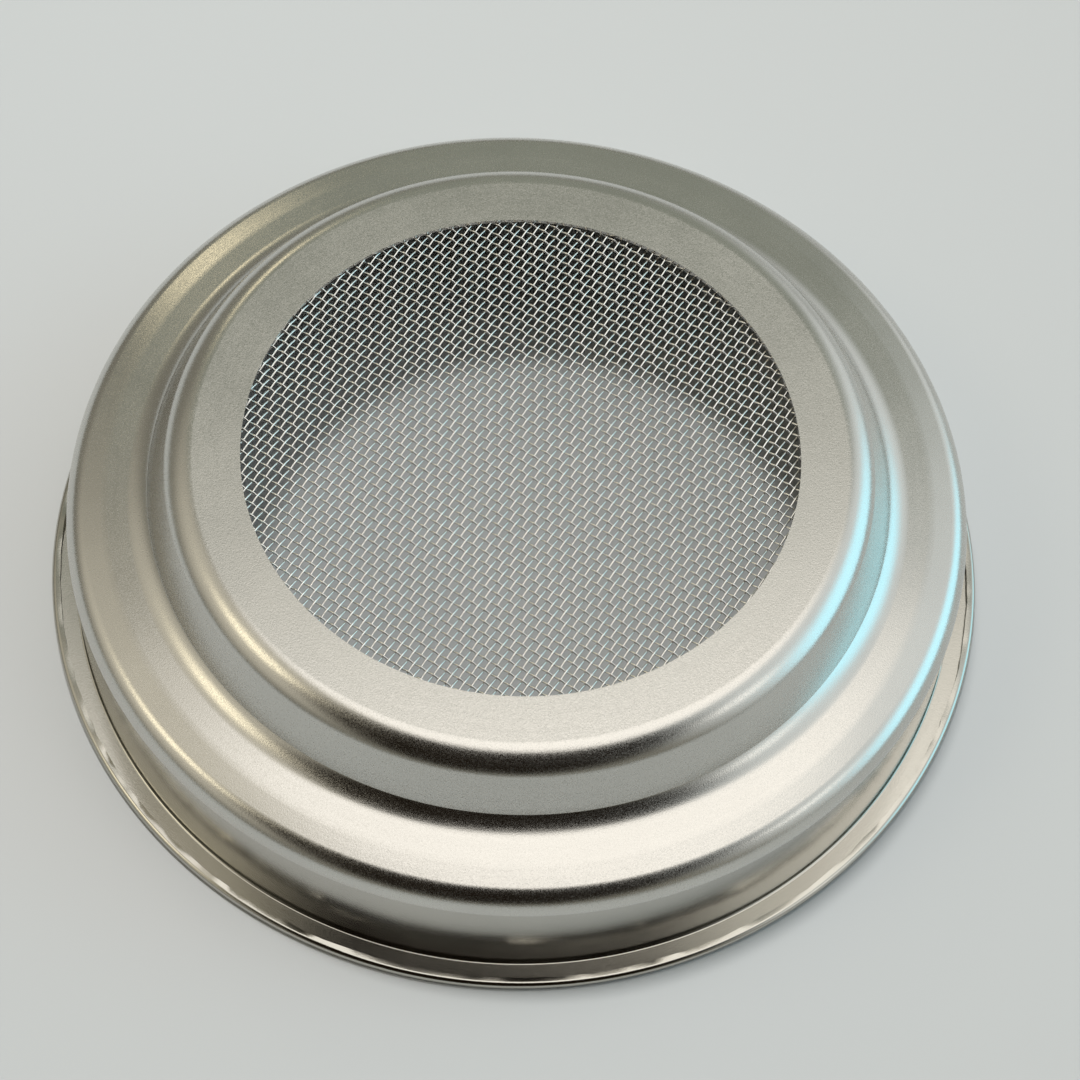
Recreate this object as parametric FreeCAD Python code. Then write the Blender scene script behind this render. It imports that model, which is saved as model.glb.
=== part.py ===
import FreeCAD, Part
import math
import os

# Strainer insert of a grease container, standing on its rolled rim with the wire cloth on top.
# Millimetres, +Z up. The origin is the middle of the rim's resting plane, and Z is the axis
# of every turned form. In use the insert is turned over and hangs by its rim in the pot.

# Driving dimensions of the whole insert
rim_radius = 65.0           # outermost line of the rolled rim
overall_height = 29.3       # resting plane to the outside of the end plate
sheet = 0.5                 # thickness of the drawn stainless sheet
chord_sag = 0.07            # most that a bend's chords lie inside its true arc

# Rolled rim: the sheet turns out as a flange, then curls up and back over itself
curl_inner_radius = 0.2
curl_lip = 0.5              # straight end of the curl, up to its trimmed edge

# Lower wall, the cylinder that slides into the mouth of the pot
wall_radius = 61.3
wall_foot_bend = 0.4

# Step between the two walls
step_height = 18.8
step_crown_width = 5.8      # slightly sloping band between the flat of the step and its shoulder
step_shoulder_radius = 3.4

# Upper wall, drawn with a little taper
upper_wall_top_radius = 47.1
upper_wall_foot_radius = 47.9
upper_wall_foot_bend = 3.5

# End plate and its pierced window
window_radius = 37.15
plate_crown_width = 3.4
plate_shoulder_radius = 2.6
crown_slope = math.radians(11)
crown_radius = 10.5

# Wire cloth under the end plate
wire_diameter = 0.28
cloth_radius = 42.5
cloth_turn = -30.5          # degrees from X to the run of the widely spaced wires
warp_pitch = 1.43
weft_pitch = 0.97
bundle = 3.6                # wires that one bar of this coarser net stands for, each way
net_radius = 37.9           # the net's gaps stay inside this circle

# Ring that clamps the edge of the cloth against the end plate
ring_inner_radius = 38.6
ring_outer_radius = 42.6

# Sizes that follow from the driving ones
cloth_thickness = 2 * wire_diameter
cloth_top = overall_height - sheet
cloth_bottom = cloth_top - cloth_thickness
curl_start_radius = rim_radius - sheet - curl_inner_radius


def along(heading):
    """Unit direction of a path in the profile; a heading of 0 runs away from the axis."""
    return FreeCAD.Vector(math.cos(heading), 0, math.sin(heading))


def through_sheet(heading):
    """Unit direction through the sheet, which lies to the right of the path."""
    return FreeCAD.Vector(math.sin(heading), 0, -math.cos(heading))


def bend(start, heading, turn, radius):
    """Stations round a bend, as chords whose ends lie on the true arcs of both sides.

    A station is a place on the sheet's outer side and the direction through the sheet there.
    """
    side = math.copysign(1, turn)
    widest = max(radius, radius + side * sheet)
    chords = math.ceil(abs(turn) / (2 * math.acos(1 - chord_sag / widest)))
    centre = start - through_sheet(heading) * radius * side
    stations = []
    for step in range(chords + 1):
        across = through_sheet(heading + turn * step / chords)
        stations.append((centre + across * radius * side, across))
    return stations


def bent_run(corners):
    """Stations of straight runs through corners (r, z, bend radius), with tangent bends."""
    places = [FreeCAD.Vector(r, 0, z) for r, z, _ in corners]
    headings = [math.atan2(b.z - a.z, b.x - a.x) for a, b in zip(places, places[1:])]
    stations = [(places[0], through_sheet(headings[0]))]
    for here, before, after, corner in zip(places[1:], headings, headings[1:], corners[1:]):
        turn = after - before
        radius = corner[2]
        reach = radius * math.tan(abs(turn) / 2)
        stations += bend(here - along(before) * reach, before, turn, radius)
    return stations


def crowned_shoulder(flat_end, height, crown_width, wall_at, wall_lean, radius):
    """Corners of a shoulder: the flat ends in a gently sloping band, which turns into the wall."""
    drop = crown_width * math.tan(crown_slope)
    return [(flat_end, height, crown_radius), (wall_at + drop * wall_lean, height - drop, radius)]


def cup_stations():
    """The cup's sheet from the window's edge to the trimmed edge inside the rolled rim."""
    lean = (upper_wall_foot_radius - upper_wall_top_radius) / (overall_height - step_height)
    corners = [(window_radius, overall_height, 0)]
    corners += crowned_shoulder(upper_wall_top_radius - plate_crown_width, overall_height,
                                plate_crown_width, upper_wall_top_radius, lean,
                                plate_shoulder_radius)
    corners += [(upper_wall_foot_radius, step_height, upper_wall_foot_bend)]
    corners += crowned_shoulder(wall_radius - step_crown_width, step_height,
                                step_crown_width, wall_radius, 0, step_shoulder_radius)
    corners += [(wall_radius, sheet, wall_foot_bend)]
    corners += [(curl_start_radius, sheet, 0)]
    stations = bent_run(corners)
    stations += bend(FreeCAD.Vector(curl_start_radius, 0, sheet), 0, math.pi, curl_inner_radius)
    curl_end, across = stations[-1]
    stations.append((curl_end + along(math.pi) * curl_lip, across))
    return stations


def strainer_cup():
    """Deep-drawn cup, pierced in the end plate and rolled at the rim, as one turned shell."""
    stations = cup_stations()
    outer_side = [place for place, across in stations]
    inner_side = [place + across * sheet for place, across in stations]
    outline = Part.makePolygon(outer_side + inner_side[::-1] + outer_side[:1])
    section = Part.Face(outline)
    return section.revolve(FreeCAD.Vector(0, 0, 0), FreeCAD.Vector(0, 0, 1), 360)


def disc(radius, bottom, height):
    """A plain round plate on the axis."""
    return Part.makeCylinder(radius, height, FreeCAD.Vector(0, 0, bottom))


def gap_centres(pitch_x, pitch_y, gap_x, gap_y):
    """Middles of the net's gaps that lie wholly inside the net's circle."""
    reach_x = int(net_radius / pitch_x) + 1
    reach_y = int(net_radius / pitch_y) + 1
    centres = []
    for i in range(-reach_x, reach_x + 1):
        for j in range(-reach_y, reach_y + 1):
            x = i * pitch_x
            y = j * pitch_y
            if math.hypot(abs(x) + gap_x / 2, abs(y) + gap_y / 2) < net_radius:
                centres.append((x, y))
    return centres


def mesh_screen():
    """Disc of wire cloth as one holed face, with the open share of the real weave."""
    pitch_x = bundle * weft_pitch
    pitch_y = bundle * warp_pitch
    bar = bundle * wire_diameter
    gap_x = pitch_x - bar
    gap_y = pitch_y - bar
    outline = Part.Wire(Part.makeCircle(cloth_radius, FreeCAD.Vector(0, 0, cloth_bottom)))
    wires = [outline]
    for x, y in gap_centres(pitch_x, pitch_y, gap_x, gap_y):
        corners = [(x - gap_x / 2, y - gap_y / 2), (x + gap_x / 2, y - gap_y / 2),
                   (x + gap_x / 2, y + gap_y / 2), (x - gap_x / 2, y + gap_y / 2)]
        loop = [FreeCAD.Vector(u, v, cloth_bottom) for u, v in corners]
        wires.append(Part.makePolygon(loop + loop[:1]))
    face = Part.makeFace(wires, "Part::FaceMakerBullseye")
    net = face.extrude(FreeCAD.Vector(0, 0, cloth_thickness))
    net.rotate(FreeCAD.Vector(0, 0, 0), FreeCAD.Vector(0, 0, 1), cloth_turn)
    print("mesh_screen gaps:", len(wires) - 1)
    return net


def retaining_ring():
    """Flat washer that presses the cloth's edge to the end plate from inside."""
    bottom = cloth_bottom - sheet
    return disc(ring_outer_radius, bottom, sheet).cut(disc(ring_inner_radius, bottom, sheet))


pieces = {
    "strainer_cup": strainer_cup(),
    "mesh_screen": mesh_screen(),
    "retaining_ring": retaining_ring(),
}

os.makedirs("parts", exist_ok=True)
for name, shape in pieces.items():
    solid = shape.Solids[0]
    solid.exportStep("parts/" + name + ".step")
    box = solid.BoundBox
    print(name, "valid", solid.isValid(), "solids", len(shape.Solids),
          "volume", round(solid.Volume, 1), "z", round(box.ZMin, 3), round(box.ZMax, 3),
          "across", round(box.XLength, 2))
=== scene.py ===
import math

import bmesh
import bpy
from mathutils import Matrix, Vector


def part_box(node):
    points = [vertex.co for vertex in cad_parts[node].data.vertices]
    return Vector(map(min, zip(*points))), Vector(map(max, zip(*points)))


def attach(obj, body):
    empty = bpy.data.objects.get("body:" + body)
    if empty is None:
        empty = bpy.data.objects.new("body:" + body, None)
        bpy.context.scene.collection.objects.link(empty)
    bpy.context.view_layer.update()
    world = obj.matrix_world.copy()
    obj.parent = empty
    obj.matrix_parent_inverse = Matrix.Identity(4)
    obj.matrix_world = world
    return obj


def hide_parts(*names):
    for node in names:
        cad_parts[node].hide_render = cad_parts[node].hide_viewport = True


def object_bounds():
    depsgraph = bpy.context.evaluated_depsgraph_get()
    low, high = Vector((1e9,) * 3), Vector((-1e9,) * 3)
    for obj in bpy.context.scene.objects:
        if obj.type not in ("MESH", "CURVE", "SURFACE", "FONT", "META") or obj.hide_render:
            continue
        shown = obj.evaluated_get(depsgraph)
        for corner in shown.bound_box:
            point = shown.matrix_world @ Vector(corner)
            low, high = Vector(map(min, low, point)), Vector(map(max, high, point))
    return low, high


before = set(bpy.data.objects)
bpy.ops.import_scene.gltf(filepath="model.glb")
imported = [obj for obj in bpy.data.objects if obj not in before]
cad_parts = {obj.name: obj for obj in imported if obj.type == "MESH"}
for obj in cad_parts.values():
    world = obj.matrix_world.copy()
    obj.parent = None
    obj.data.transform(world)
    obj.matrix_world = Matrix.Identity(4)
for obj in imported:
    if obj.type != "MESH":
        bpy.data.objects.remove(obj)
cad_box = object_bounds()
bpy.ops.object.select_all(action="DESELECT")


# ---------------------------------------------------------------------------
# Camera. A long lens about 40 cm away, held in front of the insert and well above it, and
# turned a few degrees, so that the round window is seen as a slightly tilted ellipse.
# ---------------------------------------------------------------------------
camera = bpy.data.cameras.new("camera")
camera.lens = 93.05
camera.sensor_width = 36
camera_right = Vector((0.99775634, 0.05782916, 0.03373537))
camera_up = Vector((-0.06694988, 0.86182987, 0.50275937))
camera_back = camera_right.cross(camera_up)
camera_holder = bpy.data.objects.new("camera", camera)
camera_turn = Matrix((camera_right, camera_up, camera_back)).transposed()
camera_holder.matrix_world = camera_turn.to_4x4()
camera_holder.location = (0.0032744, -0.1969148, 0.3425481)
bpy.context.collection.objects.link(camera_holder)
bpy.context.scene.camera = camera_holder


# ---------------------------------------------------------------------------
# Table and light. A pale plain cloth lies under the insert. One soft lamp hangs almost
# overhead, and the room round it is bright above and pale at the sides, as a small studio
# tent is, with a dark place at the front where it is open.
# ---------------------------------------------------------------------------
scene = bpy.context.scene
scene.view_settings.view_transform = "Standard"

table_width = 4.0
table_gap = 0.00002  # keeps the table's face just clear of the rim
bpy.ops.mesh.primitive_plane_add(size=table_width, location=(0, 0, cad_box[0][2] - table_gap))
table = bpy.context.object
table.name = "table"
table_cloth = bpy.data.materials.new("pale_table_cloth")
table_cloth.use_nodes = True
table_face = table_cloth.node_tree.nodes["Principled BSDF"]
table_face.inputs["Base Color"].default_value = (0.49, 0.505, 0.515, 1)
table_face.inputs["Roughness"].default_value = 0.95
table_face.inputs["Specular IOR Level"].default_value = 0.1
table.data.materials.append(table_cloth)

lamp = bpy.data.lights.new("overhead_lamp", "AREA")
lamp.shape = "DISK"
lamp.size = 0.11
lamp.energy = 3.0
lamp.color = (1.0, 0.985, 0.95)
lamp_distance = 0.7
lamp_to_left = math.radians(6)
lamp_to_back = math.radians(10)
lamp_place = Vector((-math.sin(lamp_to_left), math.sin(lamp_to_back), 0.98))
lamp_holder = bpy.data.objects.new("overhead_lamp", lamp)
lamp_holder.location = lamp_place * lamp_distance
lamp_holder.rotation_euler = lamp_place.to_track_quat("Z", "Y").to_euler()
lamp_holder.visible_glossy = False
bpy.context.collection.objects.link(lamp_holder)

world = bpy.data.worlds.new("tent")
scene.world = world
world.use_nodes = True
sky = world.node_tree
sky_light = sky.nodes["Background"]
sky_way = sky.nodes.new("ShaderNodeTexCoord").outputs["Generated"]


def sky_patch(below, azimuth, elevation, inner, outer, colour):
    """A soft round patch of colour in the room's light, over what is there already.

    Azimuth 0 is the right and 90 the back; inner and outer are half angles. All are degrees.
    """
    azimuth, elevation = math.radians(azimuth), math.radians(elevation)
    facing = sky.nodes.new("ShaderNodeVectorMath")
    facing.operation = "DOT_PRODUCT"
    facing.inputs[1].default_value = (math.cos(azimuth) * math.cos(elevation),
                                      math.sin(azimuth) * math.cos(elevation),
                                      math.sin(elevation))
    sky.links.new(sky_way, facing.inputs[0])
    edge = sky.nodes.new("ShaderNodeMapRange")
    edge.interpolation_type = "SMOOTHSTEP"
    edge.inputs["From Min"].default_value = math.cos(math.radians(outer))
    edge.inputs["From Max"].default_value = math.cos(math.radians(inner))
    sky.links.new(facing.outputs["Value"], edge.inputs["Value"])
    mix = sky.nodes.new("ShaderNodeMix")
    mix.data_type = "RGBA"
    sky.links.new(edge.outputs["Result"], mix.inputs["Factor"])
    sky.links.new(below, mix.inputs["A"])
    mix.inputs["B"].default_value = (*colour, 1)
    return mix.outputs["Result"]


room = sky.nodes.new("ShaderNodeRGB")
room.outputs["Color"].default_value = (0.24, 0.23, 0.19, 1)
light = room.outputs["Color"]
light = sky_patch(light, 20, 30, 26, 70, (0.90, 0.94, 0.94))      # pale right side
light = sky_patch(light, 195, 48, 16, 50, (0.72, 0.68, 0.57))     # pale left side
light = sky_patch(light, 90, 36, 14, 40, (0.31, 0.33, 0.28))      # grey-green back
light = sky_patch(light, 268, 46, 32, 46, (0.010, 0.006, 0.003))  # open front, in shade
light = sky_patch(light, 62, 81.5, 19, 26, (1.62, 1.57, 1.49))    # bright roof
light = sky_patch(light, 190, 46, 4, 13, (2.30, 2.10, 1.60))      # warm light on the left
light = sky_patch(light, 116, 32, 1, 6, (2.60, 2.30, 1.60))       # small warm light, back left
light = sky_patch(light, 12, 12, 14, 32, (0.95, 1.65, 1.90))      # blue light from the right
light = sky_patch(light, 338, 37, 4, 11, (1.60, 1.60, 1.55))      # narrow light, front right
sky.links.new(light, sky_light.inputs["Color"])
sky_light.inputs["Strength"].default_value = 1.0


# ---------------------------------------------------------------------------
# Strainer cup. One disc of stainless sheet, deep drawn in two steps: the lower wall slides
# into the pot's mouth, the upper wall leans in from a sharp crease to the pierced end plate.
# The flange at the foot is curled up and back; its trimmed edge shows as an uneven line.
# ---------------------------------------------------------------------------
mm = 0.001
rim_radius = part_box("strainer_cup")[1][0]
overall_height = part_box("strainer_cup")[1][2]
sheet = 0.5 * mm
round_steps = 256


def edit(piece):
    """Opens a piece in edit mode with nothing selected, alone on the scene."""
    bpy.ops.object.select_all(action="DESELECT")
    piece.select_set(True)
    bpy.context.view_layer.objects.active = piece
    bpy.ops.object.mode_set(mode="EDIT")
    bpy.ops.mesh.select_all(action="DESELECT")


def draw_out(radius, height):
    """Extrudes the selected ring, then sizes and moves it to a new radius and height."""
    ring = [v.co.copy() for v in bmesh.from_edit_mesh(bpy.context.object.data).verts if v.select]
    old_radius = math.hypot(ring[0].x, ring[0].y)
    bpy.ops.mesh.extrude_region_move()
    grow = radius / old_radius
    bpy.ops.transform.resize(value=(grow, grow, 1), center_override=(0, 0, ring[0].z))
    bpy.ops.transform.translate(value=(0, 0, height - ring[0].z))


def select_ring(radius, height):
    """Selects the edges that run round the axis at one radius and height."""
    near = 0.00002
    mesh = bmesh.from_edit_mesh(bpy.context.object.data)
    for vertex in mesh.verts:
        off_radius = abs(math.hypot(vertex.co.x, vertex.co.y) - radius)
        vertex.select = off_radius < near and abs(vertex.co.z - height) < near
    mesh.select_flush(True)
    mesh.select_flush(False)


def turned_sheet(name, corners):
    """A sheet turned about the axis through corners (radius, height, bend radius, steps).

    Every corner with a bend radius is bevelled to a round bend that touches both sides.
    """
    first = corners[0]
    bpy.ops.mesh.primitive_circle_add(vertices=round_steps, radius=first[0],
                                      location=(0, 0, first[1]))
    piece = bpy.context.object
    piece.name = name
    bpy.ops.object.transform_apply(location=True)
    bpy.ops.object.mode_set(mode="EDIT")
    bpy.ops.mesh.select_all(action="SELECT")
    for radius, height, *_ in corners[1:]:
        draw_out(radius, height)
    for before, here, after in zip(corners, corners[1:], corners[2:]):
        radius, height, bend, steps = here
        into = Vector((radius - before[0], height - before[1]))
        out = Vector((after[0] - radius, after[1] - height))
        turn = into.angle(out)
        select_ring(radius, height)
        bpy.ops.mesh.bevel(offset_type="OFFSET", offset=bend * math.tan(turn / 2),
                           segments=steps, profile=0.5, affect="EDGES", clamp_overlap=False)
    bpy.ops.mesh.select_all(action="SELECT")
    bpy.ops.mesh.normals_make_consistent(inside=False)
    bpy.ops.object.mode_set(mode="OBJECT")
    return piece


def finish_with(piece, modifier_type, **settings):
    """Puts one modifier on a piece with its settings, and applies it."""
    modifier = piece.modifiers.new(modifier_type.lower(), modifier_type)
    for setting, value in settings.items():
        setattr(modifier, setting, value)
    bpy.ops.object.select_all(action="DESELECT")
    piece.select_set(True)
    bpy.context.view_layer.objects.active = piece
    bpy.ops.object.modifier_apply(modifier=modifier.name)


window_radius = 37.15 * mm
plate_corner_radius = 46.2 * mm
crease_radius = 50.0 * mm
crease_height = 21.7 * mm
step_inner_radius = 51.3 * mm
step_inner_height = 20.5 * mm
step_crown_radius = 56.0 * mm
step_crown_height = 19.9 * mm
wall_radius = 61.3 * mm
wall_top = 18.6 * mm
curl_radius = 0.2 * mm
curl_bend = curl_radius * 0.98  # a full bend would leave no straight run between the two
curl_turn_radius = rim_radius - sheet
curl_top = sheet + 2 * curl_radius
trimmed_radius = rim_radius - 1.2 * mm
trim_unevenness = 0.16 * mm

cup = turned_sheet("strainer_cup_sheet", [
    (window_radius, overall_height, 0, 0),
    (plate_corner_radius, overall_height, 4.4 * mm, 12),
    (crease_radius, crease_height, 0.25 * mm, 3),
    (step_inner_radius, step_inner_height, 4.9 * mm, 8),
    (step_crown_radius, step_crown_height, 10.0 * mm, 4),
    (wall_radius, wall_top, 3.4 * mm, 10),
    (wall_radius, sheet, 0.4 * mm, 4),
    (curl_turn_radius, sheet, curl_bend, 4),
    (curl_turn_radius, curl_top, curl_bend, 4),
    (trimmed_radius, curl_top, 0, 0),
])
top_face = max(cup.data.polygons, key=lambda face: face.center.z)
if top_face.normal.z < 0:
    cup.data.flip_normals()

edit(cup)
select_ring(trimmed_radius, curl_top)
bpy.ops.transform.vertex_random(offset=trim_unevenness, seed=4)
bpy.ops.object.mode_set(mode="OBJECT")

finish_with(cup, "SOLIDIFY", thickness=sheet, offset=-1, use_even_offset=True,
            material_offset_rim=1)
bpy.ops.object.shade_smooth_by_angle(angle=math.radians(35))
finish_with(cup, "WEIGHTED_NORMAL", mode="FACE_AREA", keep_sharp=True)


def node_group(name, inputs, outputs):
    """An empty shader node group with value inputs and outputs, and its two end nodes."""
    group = bpy.data.node_groups.new(name, "ShaderNodeTree")
    for label, default in inputs:
        socket = group.interface.new_socket(name=label, in_out="INPUT",
                                            socket_type="NodeSocketFloat")
        socket.default_value = default
    for label in outputs:
        group.interface.new_socket(name=label, in_out="OUTPUT", socket_type="NodeSocketFloat")
    return group, group.nodes.new("NodeGroupInput"), group.nodes.new("NodeGroupOutput")


def math_node(tree, operation, first, second=None):
    """A math node in a tree; each operand is a socket or a plain number."""
    node = tree.nodes.new("ShaderNodeMath")
    node.operation = operation
    for socket, operand in zip(node.inputs, (first, second)):
        if isinstance(operand, (int, float)):
            socket.default_value = operand
        elif operand is not None:
            tree.links.new(operand, socket)
    return node.outputs["Value"]


def noise_node(tree, vector, scale, detail, roughness=0.5):
    """A noise texture's value on a vector."""
    node = tree.nodes.new("ShaderNodeTexNoise")
    tree.links.new(vector, node.inputs["Vector"])
    node.inputs["Scale"].default_value = scale
    node.inputs["Detail"].default_value = detail
    node.inputs["Roughness"].default_value = roughness
    return node.outputs["Fac"]


# The finish of drawn and tumbled sheet: a fine even grain, faint lines that run round the axis
# from drawing, and slow clouds.
grain_scale = 5000.0
lines_per_metre = 1500.0
sheet_finish, finish_in, finish_out = node_group(
    "sheet_finish", [("Grain scale", grain_scale), ("Lines per metre", lines_per_metre)],
    ["Grain", "Lines", "Clouds"])
finish_place = sheet_finish.nodes.new("ShaderNodeTexCoord").outputs["Object"]
finish_xyz = sheet_finish.nodes.new("ShaderNodeSeparateXYZ")
sheet_finish.links.new(finish_place, finish_xyz.inputs["Vector"])
place_x, place_y, place_z = finish_xyz.outputs
place_angle = math_node(sheet_finish, "ARCTAN2", place_y, place_x)
place_radius = math_node(sheet_finish, "SQRT", math_node(
    sheet_finish, "ADD", math_node(sheet_finish, "MULTIPLY", place_x, place_x),
    math_node(sheet_finish, "MULTIPLY", place_y, place_y)))
line_vector = sheet_finish.nodes.new("ShaderNodeCombineXYZ")
line_sockets = (math_node(sheet_finish, "MULTIPLY", place_radius, finish_in.outputs[1]),
                math_node(sheet_finish, "MULTIPLY", place_z, finish_in.outputs[1]),
                math_node(sheet_finish, "MULTIPLY", place_angle, 3.0))
for source, target in zip(line_sockets, line_vector.inputs):
    sheet_finish.links.new(source, target)
grain_noise = noise_node(sheet_finish, finish_place, 1.0, 2.0, 0.6)
grain_texture = grain_noise.node
sheet_finish.links.new(finish_in.outputs[0], grain_texture.inputs["Scale"])
sheet_finish.links.new(grain_noise, finish_out.inputs["Grain"])
sheet_finish.links.new(noise_node(sheet_finish, line_vector.outputs["Vector"], 1.0, 2.0),
                       finish_out.inputs["Lines"])
sheet_finish.links.new(noise_node(sheet_finish, finish_place, 70.0, 5.0, 0.6),
                       finish_out.inputs["Clouds"])


def centred(tree, socket, amount):
    """A noise value moved to run about zero, times an amount."""
    return math_node(tree, "MULTIPLY", math_node(tree, "SUBTRACT", socket, 0.5), amount)


def steel(name, colour, roughness, grain_spread, line_spread, cloud_spread, grain_depth):
    """Bare stainless steel; each spread says how far one part of the finish moves roughness.

    The grain's depth is in metres, and is far too small to see as a form.
    """
    material = bpy.data.materials.new(name)
    material.use_nodes = True
    tree = material.node_tree
    surface = tree.nodes["Principled BSDF"]
    surface.inputs["Metallic"].default_value = 1.0
    finish = tree.nodes.new("ShaderNodeGroup")
    finish.node_tree = sheet_finish
    for socket, default in zip(finish.inputs, (grain_scale, lines_per_metre)):
        socket.default_value = default
    grain, lines, clouds = finish.outputs
    total = math_node(tree, "ADD", centred(tree, grain, grain_spread), roughness)
    total = math_node(tree, "ADD", total, centred(tree, lines, line_spread))
    total = math_node(tree, "ADD", total, centred(tree, clouds, cloud_spread))
    tree.links.new(total, surface.inputs["Roughness"])
    tint = tree.nodes.new("ShaderNodeMix")
    tint.data_type = "RGBA"
    tint.inputs["A"].default_value = (*[channel * 0.90 for channel in colour], 1)
    tint.inputs["B"].default_value = (*[channel * 1.10 for channel in colour], 1)
    tree.links.new(clouds, tint.inputs["Factor"])
    tree.links.new(tint.outputs["Result"], surface.inputs["Base Color"])
    bump = tree.nodes.new("ShaderNodeBump")
    bump.inputs["Distance"].default_value = grain_depth
    tree.links.new(grain, bump.inputs["Height"])
    tree.links.new(bump.outputs["Normal"], surface.inputs["Normal"])
    return material


cup.data.materials.clear()
cup.data.materials.append(steel("satin_stainless", (0.61, 0.595, 0.56), 0.24, 0.34, 0.06,
                                0.12, 0.000009))
# Painted highlight: the cut edges' base colour is lighter than the sheet's, standing in for the
# glint along the trim. Their lower roughness is the cut's real shine.
cup.data.materials.append(steel("trimmed_edge_painted_glint", (0.90, 0.88, 0.84), 0.16, 0.20, 0.0,
                                0.0, 0.000030))
# Painted shade: the foot's base colour is darker than the sheet's, standing in for the shade low
# on the wall and round the curl.
cup.data.materials.append(steel("painted_shade_foot", (0.50, 0.485, 0.44), 0.16, 0.12, 0.05,
                                0.08, 0.000005))
satin_index, shaded_foot_index = 0, 2
shaded_foot_height = 12.0 * mm  # below this height the sheet is smoother, and its darker base colour is painted shade
for face in cup.data.polygons:
    if face.center.z < shaded_foot_height and face.material_index == satin_index:
        face.material_index = shaded_foot_index
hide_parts("strainer_cup")
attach(cup, "root")


# ---------------------------------------------------------------------------
# Wire cloth. Plain-woven stainless wire: the wires of each set go over one and under the next
# of the other set. The first set lies wider apart than the second. The cut disc's edge is
# hidden between the end plate and the retaining ring.
# ---------------------------------------------------------------------------
wire_radius = 0.14 * mm
warp_pitch = 1.43 * mm
weft_pitch = 0.97 * mm
cloth_turn = math.radians(-30.5)
cloth_middle = sum(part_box("mesh_screen")[end][2] for end in (0, 1)) / 2
cloth_reach = 39.3 * mm
wire_sides = 6
rings_per_crossing = 4


def even_count(length, pitch):
    """The smallest even number of pitches that covers a length."""
    return 2 * math.ceil(length / pitch / 2)


def woven_wires(name, own_pitch, crossing_pitch, first_side, turn):
    """One set of crimped wires, cut to the cloth's circle and turned to its place.

    A wire's first crossing is over or under, as first_side is 1 or -1.
    """
    cells = even_count(cloth_reach, crossing_pitch)
    pairs = even_count(cloth_reach, own_pitch)
    start = Vector((-cells * crossing_pitch, -pairs * own_pitch,
                    cloth_middle + first_side * wire_radius))
    bpy.ops.mesh.primitive_circle_add(vertices=wire_sides, radius=wire_radius, location=start,
                                      rotation=(0, math.pi / 2, 0))
    wires = bpy.context.object
    wires.name = name
    bpy.ops.object.transform_apply(location=True, rotation=True)
    bpy.ops.object.mode_set(mode="EDIT")
    bpy.ops.mesh.select_all(action="SELECT")
    height = first_side * wire_radius
    for ring in range(1, 2 * rings_per_crossing + 1):
        next_height = first_side * wire_radius * math.cos(math.pi * ring / rings_per_crossing)
        bpy.ops.mesh.extrude_region_move(TRANSFORM_OT_translate={
            "value": (crossing_pitch / rings_per_crossing, 0, next_height - height)})
        height = next_height
    bpy.ops.object.mode_set(mode="OBJECT")
    finish_with(wires, "ARRAY", count=cells, use_relative_offset=False,
                use_constant_offset=True, use_merge_vertices=True,
                constant_offset_displace=(2 * crossing_pitch, 0, 0),
                merge_threshold=0.00001)
    edit(wires)
    bpy.ops.mesh.select_all(action="SELECT")
    bpy.ops.mesh.duplicate_move(TRANSFORM_OT_translate={
        "value": (crossing_pitch, own_pitch, 0)})
    bpy.ops.object.mode_set(mode="OBJECT")
    finish_with(wires, "ARRAY", count=pairs, use_relative_offset=False,
                use_constant_offset=True, constant_offset_displace=(0, 2 * own_pitch, 0))
    edit(wires)
    mesh = bmesh.from_edit_mesh(wires.data)
    for vertex in mesh.verts:
        row = round(vertex.co.y / own_pitch) * own_pitch
        vertex.select = math.hypot(vertex.co.x, row) > cloth_reach
    mesh.select_flush(True)
    bpy.ops.mesh.delete(type="VERT")
    bpy.ops.mesh.select_all(action="SELECT")
    bpy.ops.mesh.fill_holes(sides=wire_sides)
    bpy.ops.mesh.select_all(action="SELECT")
    bpy.ops.mesh.normals_make_consistent(inside=False)
    bpy.ops.object.mode_set(mode="OBJECT")
    wires.rotation_euler.z = turn
    bpy.ops.object.transform_apply(rotation=True)
    bpy.ops.object.shade_smooth_by_angle(angle=math.radians(70))
    return wires


# Painted highlight: the wire's base colour is lighter than the sheet's, standing in for the
# glints on the wires. Its low roughness is the drawn wire's real polish.
bright_wire = steel("bright_wire", (0.84, 0.83, 0.80), 0.08, 0.10, 0.0, 0.04, 0.000002)
for wires in (woven_wires("warp_wires", warp_pitch, weft_pitch, 1, cloth_turn),
              woven_wires("weft_wires", weft_pitch, warp_pitch, -1, cloth_turn + math.pi / 2)):
    wires.data.materials.append(bright_wire)
    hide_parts("mesh_screen")
    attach(wires, "root")


# ---------------------------------------------------------------------------
# Retaining ring. A flat stainless washer that is spot welded through the cloth to the inside
# of the end plate, and clamps the cloth's cut edge. It can't be seen from above.
# ---------------------------------------------------------------------------
ring_low, ring_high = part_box("retaining_ring")
ring_inner_radius = 38.6 * mm
ring = turned_sheet("clamping_ring", [
    (ring_inner_radius, ring_high[2], 0, 0),
    (ring_high[0], ring_high[2], 0, 0),
])
if ring.data.polygons[0].normal.z < 0:
    ring.data.flip_normals()
finish_with(ring, "SOLIDIFY", thickness=ring_high[2] - ring_low[2], offset=-1)
finish_with(ring, "BEVEL", width=0.06 * mm, segments=2, limit_method="ANGLE",
            angle_limit=math.radians(60))
bpy.ops.object.shade_smooth_by_angle(angle=math.radians(35))
ring.data.materials.append(steel("plain_stainless", (0.58, 0.57, 0.54), 0.34, 0.20, 0.10,
                                 0.08, 0.000008))
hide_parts("retaining_ring")
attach(ring, "root")
